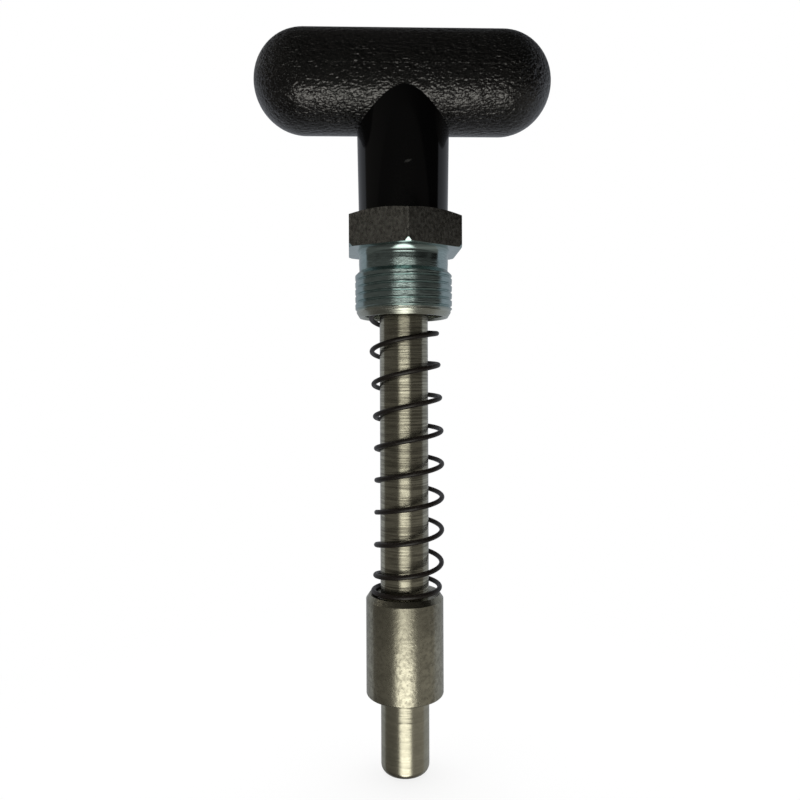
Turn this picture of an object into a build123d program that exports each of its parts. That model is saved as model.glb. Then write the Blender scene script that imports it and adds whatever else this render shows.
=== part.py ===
from build123d import *
from math import cos, exp, log, pi, radians, sin, tan
import os

# Indexing plunger: a locating pin slides in a threaded hex bush, a compression spring between the
# bush and the pin's collar drives the nose out, and a T handle pulls it back. Sizes are millimetres.
# The Z axis is the pin's axis, +Z points to the handle, and the crossbar lies along X.
# The origin is on the axis, in the middle of the mounting thread.

# Bush: hexagon, relief neck and mounting thread, with the guide bore and the spring chamber
thread_radius = 10.0            # M20 x 1.5, drawn as the plain cylinder of its crests
thread_length = 9.5
thread_end_chamfer = 1.1        # how far the chamfer at the free end goes in
thread_end_chamfer_height = 1.4
neck_radius = 9.2
neck_length = 4.0
hex_across_flats = 22.6
hex_height = 7.0
hex_turn = 2.3                  # degrees that the bush is screwed round from the crossbar
hex_corner_drop = 0.6           # how far the top chamfer lowers the six corners
guide_radius = 5.05             # running fit on the shaft
guide_chamfer = 0.4
chamber_radius = 8.15
chamber_depth = 14.5
chamber_chamfer = 0.5

# Pin: one turned piece from the stud in the handle to the tip of the nose
shaft_radius = 5.0
stud_radius = 4.0               # M8, drawn as the plain cylinder of its crests
stud_length = 11.0
stud_chamfer = 0.8
collar_radius = 8.0
collar_length = 20.65
collar_chamfer = 0.7            # how far the chamfer at the collar's top goes in
collar_chamfer_height = 1.05
collar_edge_break = 0.15        # at the collar's lower rim
nose_length = 16.1
tip_rounding = 1.6
travel = 56.85                  # from the collar to the bush, when the nose is out

# Handle: crossbar and stem in one moulding, round a threaded insert
crossbar_radius = 10.44
crossbar_length = 61.3
crossbar_height = 28.2          # its axis above the foot of the stem
stem_foot_radius = 9.2
stem_draft = 1.0                # degrees, the stem narrows towards its foot
foot_rounding = 0.4
socket_radius = 5.2
socket_depth = 2.0
insert_radius = 6.0
insert_length = 14.0
insert_groove_depth = 0.8       # the plastic fills the groove and holds the insert
insert_groove_width = 3.0

# Spring: right handed, with closed ends that are ground a little
wire_radius = 0.5
coil_radius = 6.78              # to the middle of the wire
coil_pitch = 6.72
closed_pitch = 1.03             # the end turns lie almost flat
closed_turns = 0.827            # from the wire's end to where the coils open
opening_turns = 0.2             # how gently they open
end_lift = 0.3                  # the wire's end lies this high, which leaves it a small ground flat
first_turn = -0.625             # turns from +X to the wire's lower end
spring_bow = 1.05               # the slender spring leans out between collar and bush
bow_skew = 0.8                  # below 1, it leans out most below the middle
wire_sides = 12                 # the round wire is drawn with flats, in short straight runs
runs_per_turn = 18

# Heights that follow from the sizes above
bush_end_z = -thread_length / 2
neck_z = thread_length / 2
seat_z = neck_z + neck_length
hex_top_z = seat_z + hex_height
chamber_floor_z = bush_end_z + chamber_depth
collar_top_z = bush_end_z - travel
collar_bottom_z = collar_top_z - collar_length
tip_z = collar_bottom_z - nose_length
shoulder_z = hex_top_z + socket_depth
insert_top_z = shoulder_z + insert_length
crossbar_z = hex_top_z + crossbar_height


def half_section(*outline):
    """A face in the XZ plane from (radius, height) points, to be revolved about the pin's axis."""
    with BuildSketch(Plane.XZ) as section:
        with BuildLine():
            Polyline(*outline, close=True)
        make_face()
    return section.sketch


# Bush: the hexagon's top chamfer is a cone that starts at the flats and cuts only the corners
hex_flat_radius = hex_across_flats / 2
hex_corner_radius = hex_flat_radius / cos(radians(30))
with BuildPart() as bush:
    with BuildSketch(Plane.XY.offset(seat_z)):
        RegularPolygon(hex_flat_radius, 6, major_radius=False, rotation=hex_turn - 30)
    extrude(amount=hex_height)
    revolve(
        half_section(
            (0, seat_z),
            (hex_corner_radius, seat_z),
            (hex_corner_radius, hex_top_z - hex_corner_drop),
            (hex_flat_radius, hex_top_z),
            (0, hex_top_z),
        ),
        axis=Axis.Z,
        mode=Mode.INTERSECT,
    )
    revolve(
        half_section(
            (0, bush_end_z),
            (thread_radius - thread_end_chamfer, bush_end_z),
            (thread_radius, bush_end_z + thread_end_chamfer_height),
            (thread_radius, neck_z - (thread_radius - neck_radius)),
            (neck_radius, neck_z),
            (neck_radius, seat_z),
            (0, seat_z),
        ),
        axis=Axis.Z,
    )
    revolve(
        half_section(
            (0, bush_end_z),
            (chamber_radius + chamber_chamfer, bush_end_z),
            (chamber_radius, bush_end_z + chamber_chamfer),
            (chamber_radius, chamber_floor_z),
            (guide_radius, chamber_floor_z),
            (guide_radius, hex_top_z - guide_chamfer),
            (guide_radius + guide_chamfer, hex_top_z),
            (0, hex_top_z),
        ),
        axis=Axis.Z,
        mode=Mode.SUBTRACT,
    )


# Pin: turned from bar in one piece, stud, shaft, collar and nose
with BuildPart() as pin:
    revolve(
        half_section(
            (0, tip_z),
            (shaft_radius, tip_z),
            (shaft_radius, collar_bottom_z),
            (collar_radius, collar_bottom_z),
            (collar_radius, collar_top_z - collar_chamfer_height),
            (collar_radius - collar_chamfer, collar_top_z),
            (shaft_radius, collar_top_z),
            (shaft_radius, shoulder_z),
            (stud_radius, shoulder_z),
            (stud_radius, shoulder_z + stud_length),
            (0, shoulder_z + stud_length),
        ),
        axis=Axis.Z,
    )
    fillet(pin.edges().sort_by(Axis.Z)[0], tip_rounding)
    chamfer(pin.edges().sort_by(Axis.Z)[-1], stud_chamfer)
    collar_rims = pin.edges().filter_by(GeomType.CIRCLE).filter_by(
        lambda edge: edge.radius == collar_radius)
    chamfer(collar_rims.sort_by(Axis.Z)[0], collar_edge_break)


def insert_outline(bore_radius):
    """The insert's outline, a sleeve with a groove round its middle."""
    groove_radius = insert_radius - insert_groove_depth
    groove_low_z = shoulder_z + (insert_length - insert_groove_width) / 2
    groove_high_z = groove_low_z + insert_groove_width
    return [
        (bore_radius, shoulder_z),
        (insert_radius, shoulder_z),
        (insert_radius, groove_low_z),
        (groove_radius, groove_low_z),
        (groove_radius, groove_high_z),
        (insert_radius, groove_high_z),
        (insert_radius, insert_top_z),
        (bore_radius, insert_top_z),
    ]


# Insert: its bore takes the pin's stud, and its lower end is the seat of the shaft's shoulder
with BuildPart() as handle_insert:
    revolve(half_section(*insert_outline(stud_radius)), axis=Axis.Z)


# Handle: the crossbar is a round bar with ball ends, and the stem runs up into it
crossbar_straight = crossbar_length / 2 - crossbar_radius
stem_top_radius = stem_foot_radius + crossbar_height * tan(radians(stem_draft))
crossbar_plane = Plane((0, 0, crossbar_z), x_dir=(1, 0, 0), z_dir=(0, -1, 0))
with BuildPart() as handle:
    revolve(
        half_section(
            (0, hex_top_z),
            (stem_foot_radius, hex_top_z),
            (stem_top_radius, crossbar_z),
            (0, crossbar_z),
        ),
        axis=Axis.Z,
    )
    fillet(handle.edges().sort_by(Axis.Z)[0], foot_rounding)
    with BuildSketch(crossbar_plane):
        with BuildLine():
            CenterArc((crossbar_straight, 0), crossbar_radius, 0, 90)
            Line((crossbar_straight, crossbar_radius), (-crossbar_straight, crossbar_radius))
            CenterArc((-crossbar_straight, 0), crossbar_radius, 90, 90)
            Line((-crossbar_length / 2, 0), (crossbar_length / 2, 0))
        make_face()
    revolve(axis=Axis((0, 0, crossbar_z), (1, 0, 0)))
    revolve(
        half_section(
            (0, hex_top_z),
            (socket_radius, hex_top_z),
            (socket_radius, shoulder_z),
            (0, shoulder_z),
        ),
        axis=Axis.Z,
        mode=Mode.SUBTRACT,
    )
    revolve(half_section(*insert_outline(0)), axis=Axis.Z, mode=Mode.SUBTRACT)


# Spring: its wire follows a helix whose pitch opens out between the closed end turns
spring_length = chamber_floor_z - collar_top_z
open_turns = (spring_length - 2 * (end_lift + closed_turns * closed_pitch)) / coil_pitch
total_turns = open_turns + 2 * closed_turns


def soft_ramp(turns):
    """Turns past the point where the coils open, rounded off round zero."""
    return opening_turns * log(1 + exp(turns / opening_turns))


def wire_point(turns):
    """Middle of the wire, so many turns from its lower end."""
    opened = soft_ramp(turns - closed_turns) - soft_ramp(turns - closed_turns - open_turns)
    height = end_lift + closed_pitch * turns + (coil_pitch - closed_pitch) * opened
    lean = spring_bow * sin(pi * min(max(height, 0) / travel, 1) ** bow_skew)
    angle = 2 * pi * (first_turn + turns)
    return (coil_radius * cos(angle) + lean, coil_radius * sin(angle), collar_top_z + height)


runs = round(total_turns * runs_per_turn)
with BuildPart() as spring:
    with BuildLine() as wire_path:
        Polyline(*[wire_point(total_turns * run / runs) for run in range(runs + 1)])
    with BuildSketch(Plane(wire_path.line @ 0, z_dir=wire_path.line % 0)):
        RegularPolygon(wire_radius, wire_sides)
    sweep(transition=Transition.RIGHT)
    # the ends are ground flat, to sit on the collar and on the chamber's floor
    split(bisect_by=Plane.XY.offset(collar_top_z), keep=Keep.TOP)
    split(bisect_by=Plane.XY.offset(chamber_floor_z), keep=Keep.BOTTOM)


os.makedirs("parts", exist_ok=True)
bush.part.label = "bush"
export_step(bush.part, "parts/bush.step")
pin.part.label = "pin"
export_step(pin.part, "parts/pin.step")
handle_insert.part.label = "handle_insert"
export_step(handle_insert.part, "parts/handle_insert.step")
handle.part.label = "handle"
export_step(handle.part, "parts/handle.step")
spring.part.label = "spring"
export_step(spring.part, "parts/spring.step")
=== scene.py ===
# %% [markdown]
# # An indexing plunger, dressed in Blender
# A locating pin slides in a threaded hex bush. A compression spring between the bush and the pin's
# collar drives the nose out, and a T handle pulls it back. The CAD solids come in as a fixed frame,
# and the cells below make the finer pieces and their finishes in the same places. Lengths are
# written in millimetres and multiplied by MM where they reach Blender, because the frame is in
# metres.

# %% The frame
import math

import bmesh
import bpy
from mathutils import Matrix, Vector


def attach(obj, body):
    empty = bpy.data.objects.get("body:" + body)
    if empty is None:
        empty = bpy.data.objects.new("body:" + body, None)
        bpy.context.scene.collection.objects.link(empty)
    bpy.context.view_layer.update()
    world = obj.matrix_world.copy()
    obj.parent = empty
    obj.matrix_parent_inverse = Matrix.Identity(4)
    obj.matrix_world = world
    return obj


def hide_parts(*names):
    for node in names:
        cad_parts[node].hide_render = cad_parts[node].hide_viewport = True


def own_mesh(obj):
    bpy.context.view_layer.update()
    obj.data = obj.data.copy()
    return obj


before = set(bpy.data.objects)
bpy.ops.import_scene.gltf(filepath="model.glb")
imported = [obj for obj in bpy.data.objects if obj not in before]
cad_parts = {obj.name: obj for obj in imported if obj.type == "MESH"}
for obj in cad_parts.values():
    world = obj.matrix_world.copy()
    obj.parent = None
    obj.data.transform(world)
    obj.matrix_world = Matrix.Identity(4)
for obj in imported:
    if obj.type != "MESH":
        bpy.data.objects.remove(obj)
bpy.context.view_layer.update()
scene = bpy.context.scene
MM = 0.001

print("CAD nodes:", ", ".join(sorted(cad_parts)))

# %% [markdown]
# ## The plunger's sizes
# They are the sizes of the CAD solids, from which every piece below is built, so that each new
# piece lies exactly where its solid does. The origin is on the axis, in the middle of the mounting
# thread, and Z runs up towards the handle.

# %% Heights that several pieces share, in millimetres
THREAD_END_Z, NECK_Z, SEAT_Z, HEX_TOP_Z = -4.75, 4.75, 8.75, 15.75
CHAMBER_FLOOR_Z, SHOULDER_Z, CROSSBAR_Z = 9.75, 17.75, 43.95
COLLAR_TOP_Z, COLLAR_BOTTOM_Z, TIP_Z = -61.6, -82.25, -98.35
print("from the tip to the crossbar's middle, in mm:", round(CROSSBAR_Z - TIP_Z, 2))

# %% [markdown]
# ## Camera
# The camera is level, about 15 cm away, and a little below the bush, so the hexagon shows its
# underside and the collar its top. A lens this near gives the strong perspective in which the nose
# and the handle both turn away from the eye. It stands a little to the left of square on, so the
# crossbar's right end is the farther one. The picture is square, 800 by 800, and the lens and its
# small shift are worked out from lengths in such a picture.

# %% Camera
PICTURE_PIXELS, FOCAL_PIXELS, SHIFT_PIXELS = 800, 717, -10
CAMERA_LEFT, CAMERA_AWAY, CAMERA_Z = 0.82, 148.8, -19.64
VIEW_TURN, CAMERA_ROLL = math.radians(1.7), math.radians(0.22)
RIGHT = Vector((math.cos(VIEW_TURN), -math.sin(VIEW_TURN), 0))
FORWARD = Vector((math.sin(VIEW_TURN), math.cos(VIEW_TURN), 0))


def add_object(name, data):
    """A new object in the scene that shows this mesh, lamp or camera."""
    made = bpy.data.objects.new(name, data)
    scene.collection.objects.link(made)
    return made


camera_data = bpy.data.cameras.new("camera")
camera_data.sensor_width = 36.0
camera_data.lens = camera_data.sensor_width * FOCAL_PIXELS / PICTURE_PIXELS
camera_data.shift_y = SHIFT_PIXELS / PICTURE_PIXELS
camera_data.clip_start = 10 * MM
camera = add_object("camera", camera_data)
camera.location = (-CAMERA_LEFT * RIGHT - CAMERA_AWAY * FORWARD + Vector((0, 0, CAMERA_Z))) * MM
camera.rotation_euler = (math.radians(90), CAMERA_ROLL, -VIEW_TURN)
scene.camera = camera
print("camera lens in mm:", round(camera_data.lens, 2))

# %% [markdown]
# ## Helpers for nodes and colours
# Colours are written as the sRGB hex codes that a screen shows, and one function turns them to the
# linear values that Blender's nodes take. A second small function adds a node to a tree, with its
# settings and its links, and gives back the node's outputs.


# %% Colours and nodes
def linear(code):
    """The linear RGBA of an sRGB hex code such as 8a8f92."""
    shares = [int(code[i : i + 2], 16) / 255 for i in (0, 2, 4)]
    return tuple(
        [s / 12.92 if s <= 0.04045 else ((s + 0.055) / 1.055) ** 2.4 for s in shares] + [1.0]
    )


def add_node(tree, kind, inputs=None, **settings):
    """Adds a node, links or sets its inputs by name or number, and returns its outputs."""
    made = tree.nodes.new(kind)
    for name, value in settings.items():
        setattr(made, name, value)
    for socket, value in (inputs or {}).items():
        if isinstance(value, bpy.types.NodeSocket):
            tree.links.new(value, made.inputs[socket])
        else:
            made.inputs[socket].default_value = value
    return made.outputs


def new_material(name):
    """A material with an empty tree. Returns the material and the tree."""
    material = bpy.data.materials.new(name)
    material.use_nodes = True
    material.node_tree.nodes.clear()
    return material, material.node_tree


print("the code 808080 in linear light:", [round(share, 3) for share in linear("808080")])

# %% [markdown]
# Two more helpers work with numbers inside a tree. One does a step of arithmetic. The other follows
# a table of numbers, by straight lines or by a smooth curve. It serves the surroundings, whose
# light changes with height, and later the spring, which leans out between its ends.


# %% Arithmetic and tables in a tree
def maths(tree, operation, *inputs):
    """One step of arithmetic in a tree."""
    return add_node(tree, "ShaderNodeMath", dict(enumerate(inputs)), operation=operation)["Value"]


def by_table(tree, share, rows, top, handles, unit=1.0):
    """A number that follows rows of (share, number): shares run from 0 to 1, numbers up to top."""
    curve = tree.nodes.new("ShaderNodeFloatCurve")
    tree.links.new(share, curve.inputs["Value"])
    points = curve.mapping.curves[0].points
    for at, number in rows[1:-1]:
        points.new(at, number / top)
    points[0].location = (0.0, rows[0][1] / top)
    points[-1].location = (1.0, rows[-1][1] / top)
    for point in points:
        point.handle_type = handles
    curve.mapping.update()
    return maths(tree, "MULTIPLY", curve.outputs["Value"], top * unit)


print("helpers for numbers in a tree:", maths.__name__, "and", by_table.__name__)

# %% [markdown]
# ## Surroundings
# Metal looks like what it mirrors, so the surroundings matter more than the lamps. They could be
# built from large glowing planes, or read from a picture of a room. Here the world paints them by
# direction, which needs neither and casts no shadows. A white sheet behind the plunger gives each
# round part its soft bright edges. The unlit room on the camera's side gives the dark bands next to
# them. One tall window in front gives the bright line down the middle: it is brightest well below
# the eye, and ends a little above it.

# %% What lies at each height
SHEET_COLOUR, SHEET_LIGHT = "edf2fb", 0.43
ROOM_COLOUR, WINDOW_COLOUR = "f6f1e8", "fffdf4"
# The first number of each pair is the height of a direction, from -1 straight down to +1 straight
# up. The second is how bright the window is, how far to the right its middle lies, or half its
# width. The middle is written 0.1 too high, because a table holds no negative numbers.
WINDOW_LIGHT = (
    (-1.0, 0.05), (-0.97, 0.25), (-0.92, 1.0), (-0.82, 2.4), (-0.64, 2.6), (-0.55, 1.8),
    (-0.5, 1.8), (-0.38, 1.35), (-0.3, 0.68), (-0.2, 1.3), (-0.05, 1.5), (0.0, 1.4),
    (0.05, 1.1), (0.08, 1.3), (0.1, 2.0), (0.13, 1.3), (0.155, 0.0), (1.0, 0.0),
)  # fmt: skip
WINDOW_MIDDLE = (
    (-1.0, 0.13), (-0.46, 0.11), (-0.41, 0.03), (-0.33, 0.0), (-0.27, 0.03), (-0.2, 0.13),
    (1.0, 0.13),
)  # fmt: skip
WINDOW_HALF_WIDTH = (
    (-1.0, 0.1), (-0.92, 0.2), (-0.8, 0.42), (-0.6, 0.45), (-0.48, 0.53), (-0.43, 0.53),
    (-0.4, 0.3), (-0.34, 0.16), (-0.28, 0.16), (-0.2, 0.42), (1.0, 0.44),
)  # fmt: skip
# how bright the room is, how much that differs from side to side, and how much of the sheet hangs
# there
ROOM_LIGHT = (
    (-1.0, 0.08), (-0.7, 0.12), (-0.5, 0.2), (-0.44, 0.22), (-0.3, 0.16), (0.0, 0.13),
    (0.1, 0.08), (0.16, 0.055), (0.25, 0.05), (0.46, 0.03), (0.5, 0.4), (0.54, 0.03),
    (0.75, 0.045), (1.0, 0.02),
)  # fmt: skip
ROOM_SKEW = ((-1.0, 0.9), (0.0, 1.0), (0.12, 3.0), (0.25, 4.0), (1.0, 1.0))
SHEET_SHARE = (
    (-1.0, 0.25), (-0.6, 0.5), (-0.3, 0.8), (-0.15, 1.0), (0.2, 1.0), (0.4, 0.6), (0.65, 0.3),
    (0.8, 0.0), (1.0, 0.0),
)  # fmt: skip
TABLE_TOP = 4.0
print("the window's brightest height:", max(WINDOW_LIGHT, key=lambda pair: pair[1])[0])

# %% [markdown]
# A world's tree is asked for the light that comes from one direction at a time. The direction is a
# vector of length one, so its three parts say how far to the right, how far away from the camera
# and how high that light comes from. The tables are read by its height.

# %% Directions, as seen from the plunger
world = bpy.data.worlds.new("studio")
scene.world = world
world.use_nodes = True
sky = world.node_tree
sky.nodes.clear()
direction = add_node(sky, "ShaderNodeTexCoord")["Generated"]
# turned by the camera's small angle, so that -Y points straight at the camera
turned = add_node(
    sky,
    "ShaderNodeVectorRotate",
    {"Vector": direction, "Angle": VIEW_TURN},
    rotation_type="Z_AXIS",
)["Vector"]
toward = add_node(sky, "ShaderNodeSeparateXYZ", {0: turned})
backward = maths(sky, "MULTIPLY", toward["Y"], -1.0)
height_share = maths(sky, "MULTIPLY_ADD", toward["Z"], 0.5, 0.5)


def by_height(table):
    """A number that follows one of the tables above."""
    rows = [((height + 1) / 2, number) for height, number in table]
    return by_table(sky, height_share, rows, TABLE_TOP, "VECTOR")


print("the camera looks to the right by, in degrees:", round(math.degrees(VIEW_TURN), 2))

# %% [markdown]
# The sheet hangs behind, reaches a little farther round on the right, and ends above. The window's
# place and width are measured as a slope, so that its sides stay upright, as a real window's do.
# Soft edges on both keep the reflections from looking cut out.

# %% Sheet and window
edge = maths(sky, "MULTIPLY_ADD", toward["X"], 0.1, toward["Y"])
on_sheet = add_node(
    sky,
    "ShaderNodeMapRange",
    {"Value": edge, "From Min": 0.2, "From Max": 0.28},
    interpolation_type="SMOOTHSTEP",
)["Result"]
on_sheet = maths(sky, "MULTIPLY", on_sheet, by_height(SHEET_SHARE))
reach = maths(sky, "MAXIMUM", backward, maths(sky, "MULTIPLY", toward["Z"], -0.5))
sideways = maths(sky, "DIVIDE", toward["X"], maths(sky, "MAXIMUM", reach, 0.01))
middle = maths(sky, "SUBTRACT", by_height(WINDOW_MIDDLE), 0.1)
sideways = maths(sky, "ABSOLUTE", maths(sky, "SUBTRACT", sideways, middle))
past_edge = maths(sky, "SUBTRACT", sideways, by_height(WINDOW_HALF_WIDTH))
in_window = add_node(
    sky,
    "ShaderNodeMapRange",
    {
        "Value": past_edge,
        "From Min": -0.14,
        "From Max": 0.14,
        "To Min": 1.0,
        "To Max": 0.0,
    },
)["Result"]
# nothing of the window lies behind the plunger
in_front = add_node(
    sky, "ShaderNodeMapRange", {"Value": backward, "From Min": -0.1, "From Max": 0.1}
)["Result"]
in_window = maths(sky, "MULTIPLY", in_window, in_front)
print("nodes for the sheet and the window:", len(sky.nodes))

# %% [markdown]
# The room is nearly dark, and a little lighter low on the right and high on the left. A real sheet
# in half light is grey, and that is what the metal mirrors. Only the camera itself sees pure white
# behind the plunger.

# %% Room, and all of the surroundings together
uneven = maths(sky, "MULTIPLY", maths(sky, "MULTIPLY", toward["X"], toward["Z"]), -1.0)
uneven = maths(sky, "MULTIPLY_ADD", uneven, by_height(ROOM_SKEW), 1.0)
uneven = maths(sky, "MAXIMUM", uneven, 0.2)
room = add_node(
    sky,
    "ShaderNodeBackground",
    {
        "Color": linear(ROOM_COLOUR),
        "Strength": maths(sky, "MULTIPLY", by_height(ROOM_LIGHT), uneven),
    },
)["Background"]
window = add_node(
    sky,
    "ShaderNodeBackground",
    {
        "Color": linear(WINDOW_COLOUR),
        "Strength": maths(sky, "MULTIPLY", by_height(WINDOW_LIGHT), in_window),
    },
)["Background"]
sheet = add_node(
    sky, "ShaderNodeBackground", {"Color": linear(SHEET_COLOUR), "Strength": SHEET_LIGHT}
)["Background"]
white = add_node(sky, "ShaderNodeBackground", {"Color": linear("ffffff"), "Strength": 1.0})
front = add_node(sky, "ShaderNodeAddShader", {0: room, 1: window})["Shader"]
around = add_node(sky, "ShaderNodeMixShader", {0: on_sheet, 1: front, 2: sheet})["Shader"]
rays = add_node(sky, "ShaderNodeLightPath")
seen = add_node(
    sky, "ShaderNodeMixShader", {0: rays["Is Camera Ray"], 1: around, 2: white["Background"]}
)["Shader"]
add_node(sky, "ShaderNodeOutputWorld", {"Surface": seen})
print("nodes in the world:", len(sky.nodes))

# %% [markdown]
# ## Floor
# The plunger stands on its nose on a plain pale floor. A white plane under a lamp would do, but its
# far edge would show against the white behind. So this one glows white, and near the plunger a
# share of it is lit paper, which keeps the soft shadow of the nose. Farther off it is all glow, and
# runs into the white. Its underside is clear, so that the plunger can be looked at from below.

# %% Floor
FLOOR_HALF = 1500
SHADOW_FADES_FROM, SHADOW_GONE_AT, GLOW_UNDER_NOSE = 10, 120, 0.85
floor_mesh = bpy.data.meshes.new("floor")
floor_mesh.from_pydata(
    [
        (x * FLOOR_HALF * MM, y * FLOOR_HALF * MM, TIP_Z * MM)
        for x, y in ((-1, -1), (1, -1), (1, 1), (-1, 1))
    ],
    [],
    [(0, 1, 2, 3)],
)
floor = add_object("floor", floor_mesh)
paper, tree = new_material("pale_paper")
from_nose = add_node(
    tree,
    "ShaderNodeVectorMath",
    {0: add_node(tree, "ShaderNodeTexCoord")["Object"], 1: (0, 0, TIP_Z * MM)},
    operation="DISTANCE",
)["Value"]
glowing = add_node(
    tree,
    "ShaderNodeMapRange",
    {
        "Value": from_nose,
        "From Min": SHADOW_FADES_FROM * MM,
        "From Max": SHADOW_GONE_AT * MM,
        "To Min": GLOW_UNDER_NOSE,
        "To Max": 1.0,
    },
    interpolation_type="SMOOTHSTEP",
)["Result"]
shade = add_node(tree, "ShaderNodeBsdfDiffuse", {"Color": linear("fafafa")})["BSDF"]
glow = add_node(tree, "ShaderNodeEmission", {"Color": linear("ffffff"), "Strength": 1.0})
lit = add_node(tree, "ShaderNodeMixShader", {0: glowing, 1: shade, 2: glow["Emission"]})["Shader"]
clear = add_node(tree, "ShaderNodeBsdfTransparent")["BSDF"]
backfacing = add_node(tree, "ShaderNodeNewGeometry")["Backfacing"]
lit = add_node(tree, "ShaderNodeMixShader", {0: backfacing, 1: lit, 2: clear})["Shader"]
add_node(tree, "ShaderNodeOutputMaterial", {"Surface": lit})
floor_mesh.materials.append(paper)
# the plunger isn't lit by the glow and doesn't mirror it
floor.visible_glossy = False
floor.visible_shadow = False
floor.visible_diffuse = False
print("the floor lies at, in mm:", TIP_Z)

# %% [markdown]
# ## Dark ledge
# Where something shiny is lit, black cards are often held beside it to shade what it mirrors. Two
# such boards stand in front. The level one lies at the height of the eye. Upright metal never
# mirrors it: above the eye it mirrors what is higher still, and below the eye what is lower. Only
# the round crossbar looks down on it. The upright one stands opposite the crossbar and the stem.
# Together they keep the window's light off the crossbar's middle and the stem. Boards do this
# better than the world can, because what a near board hides depends on where it is seen from.

# %% Dark ledge and upright board
LEDGE_LIGHT, LEDGE_HALF_WIDTH = 0.06, 900
# how far away and how high: the level board's near and far edges, the upright one's two edges
LEDGE_EDGES = ((87, CAMERA_Z), (1500, CAMERA_Z), (80, 38), (80, 62))
ledge_mesh = bpy.data.meshes.new("ledge")
ledge_mesh.from_pydata(
    [
        (x * RIGHT - away * FORWARD + Vector((0, 0, z))) * MM
        for away, z in LEDGE_EDGES
        for x in (-LEDGE_HALF_WIDTH, LEDGE_HALF_WIDTH)
    ],
    [],
    [(0, 1, 3, 2), (4, 5, 7, 6)],
)
ledge = add_object("ledge", ledge_mesh)
board, tree = new_material("dark_ledge")
dim = add_node(tree, "ShaderNodeEmission", {"Color": linear(ROOM_COLOUR), "Strength": LEDGE_LIGHT})
add_node(tree, "ShaderNodeOutputMaterial", {"Surface": dim["Emission"]})
ledge_mesh.materials.append(board)
# the boards are there for reflections alone
ledge.visible_camera = False
ledge.visible_diffuse = False
ledge.visible_shadow = False
ledge.visible_transmission = False
print("boards:", len(ledge_mesh.polygons))

# %% [markdown]
# ## Lamp
# One broad softbox overhead lights the paper and the plastic. A small lamp would draw a hard
# shadow, so this one is about as wide as it is high above the handle. Metal doesn't mirror it,
# because all that metal mirrors is painted in the world.

# %% Lamp
SOFTBOX_SIDES, SOFTBOX_LIGHT, SOFTBOX_TILT = (0.5, 0.4), 6.0, math.radians(-8)
lamp_data = bpy.data.lights.new("overhead", "AREA")
lamp_data.shape = "RECTANGLE"
lamp_data.size, lamp_data.size_y = SOFTBOX_SIDES
# a lamp's power grows with its area
lamp_data.energy = math.pi * SOFTBOX_LIGHT * lamp_data.size * lamp_data.size_y
lamp = add_object("overhead", lamp_data)
lamp.location = (0, 0.06, 0.42)
lamp.rotation_euler = (SOFTBOX_TILT, 0, 0)
lamp.visible_camera = False
lamp.visible_glossy = False
print("lamp in watts:", round(lamp_data.energy, 2))

# %% [markdown]
# ## Meshes
# Most of the plunger was turned on a lathe, so most pieces are rings of points joined by faces. The
# Screw modifier can spin an outline too, but the hexagon and the thread aren't round, and rings of
# any shape join in one skin. The helpers below join such rings, smooth the round surfaces and keep
# the true edges sharp.


# %% Rings, lathes and finished pieces
def skin(rings):
    """Vertices and quads that join rings of points, all of the same count."""
    count = len(rings[0])
    points = [tuple(c * MM for c in point) for ring in rings for point in ring]
    faces = []
    for i in range(len(rings) - 1):
        low, high = i * count, (i + 1) * count
        for j in range(count):
            k = (j + 1) % count
            faces.append((low + j, low + k, high + k, high + j))
    return points, faces


def lathe(outline, segments):
    """Points and faces of a solid turned about Z from (radius, height) points."""
    rings = [
        [
            (r * math.cos(2 * math.pi * j / segments), r * math.sin(2 * math.pi * j / segments), z)
            for j in range(segments)
        ]
        for r, z in outline
    ]
    return skin(rings)


def arc(centre, radius, start, end, steps):
    """(radius, height) points along an arc, angles in degrees."""
    turns = [math.radians(start + (end - start) * i / steps) for i in range(steps + 1)]
    return [(centre[0] + radius * math.cos(a), centre[1] + radius * math.sin(a)) for a in turns]


def finish_mesh(mesh, sharp_angle=24):
    """Merges doubles, turns the faces outwards, smooths them and keeps the real edges sharp."""
    work = bmesh.new()
    work.from_mesh(mesh)
    bmesh.ops.remove_doubles(work, verts=work.verts, dist=0.0004 * MM)
    bmesh.ops.dissolve_degenerate(work, edges=work.edges, dist=0.0002 * MM)
    bmesh.ops.recalc_face_normals(work, faces=work.faces)
    open_edges = sum(not edge.is_manifold for edge in work.edges)
    for face in work.faces:
        face.smooth = True
    work.to_mesh(mesh)
    work.free()
    mesh.set_sharp_from_angle(angle=math.radians(sharp_angle))
    return open_edges


def piece(name, points, faces, materials, sharp_angle=24):
    """A finished object at the origin, with its place in its mesh."""
    mesh = bpy.data.meshes.new(name)
    mesh.from_pydata(points, [], faces)
    for material in materials:
        mesh.materials.append(material)
    open_edges = finish_mesh(mesh, sharp_angle)
    print(f"{name}: {len(mesh.polygons)} faces, {open_edges} open edges")
    return add_object(name, mesh)


# %% [markdown]
# ## Running a rule
# Two shapes follow a rule: the thread is a profile wound round a cylinder, and the spring is a wire
# wound round a line. Geometry Nodes write such a rule down once, with a named input for each size.
# The first helper makes an empty tree with its inputs. The second runs a tree, turns its result
# into a plain mesh and takes the modifier away again.


# %% Geometry Nodes helpers
def new_rule(name, sizes):
    """An empty tree with one input for each size. Returns the tree and the inputs' sockets."""
    tree = bpy.data.node_groups.new(name, "GeometryNodeTree")
    tree.interface.new_socket("Mesh", in_out="OUTPUT", socket_type="NodeSocketGeometry")
    for title, size in sizes.items():
        kind = "NodeSocketInt" if isinstance(size, int) else "NodeSocketFloat"
        tree.interface.new_socket(title, in_out="INPUT", socket_type=kind)
    return tree, tree.nodes.new("NodeGroupInput").outputs


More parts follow.
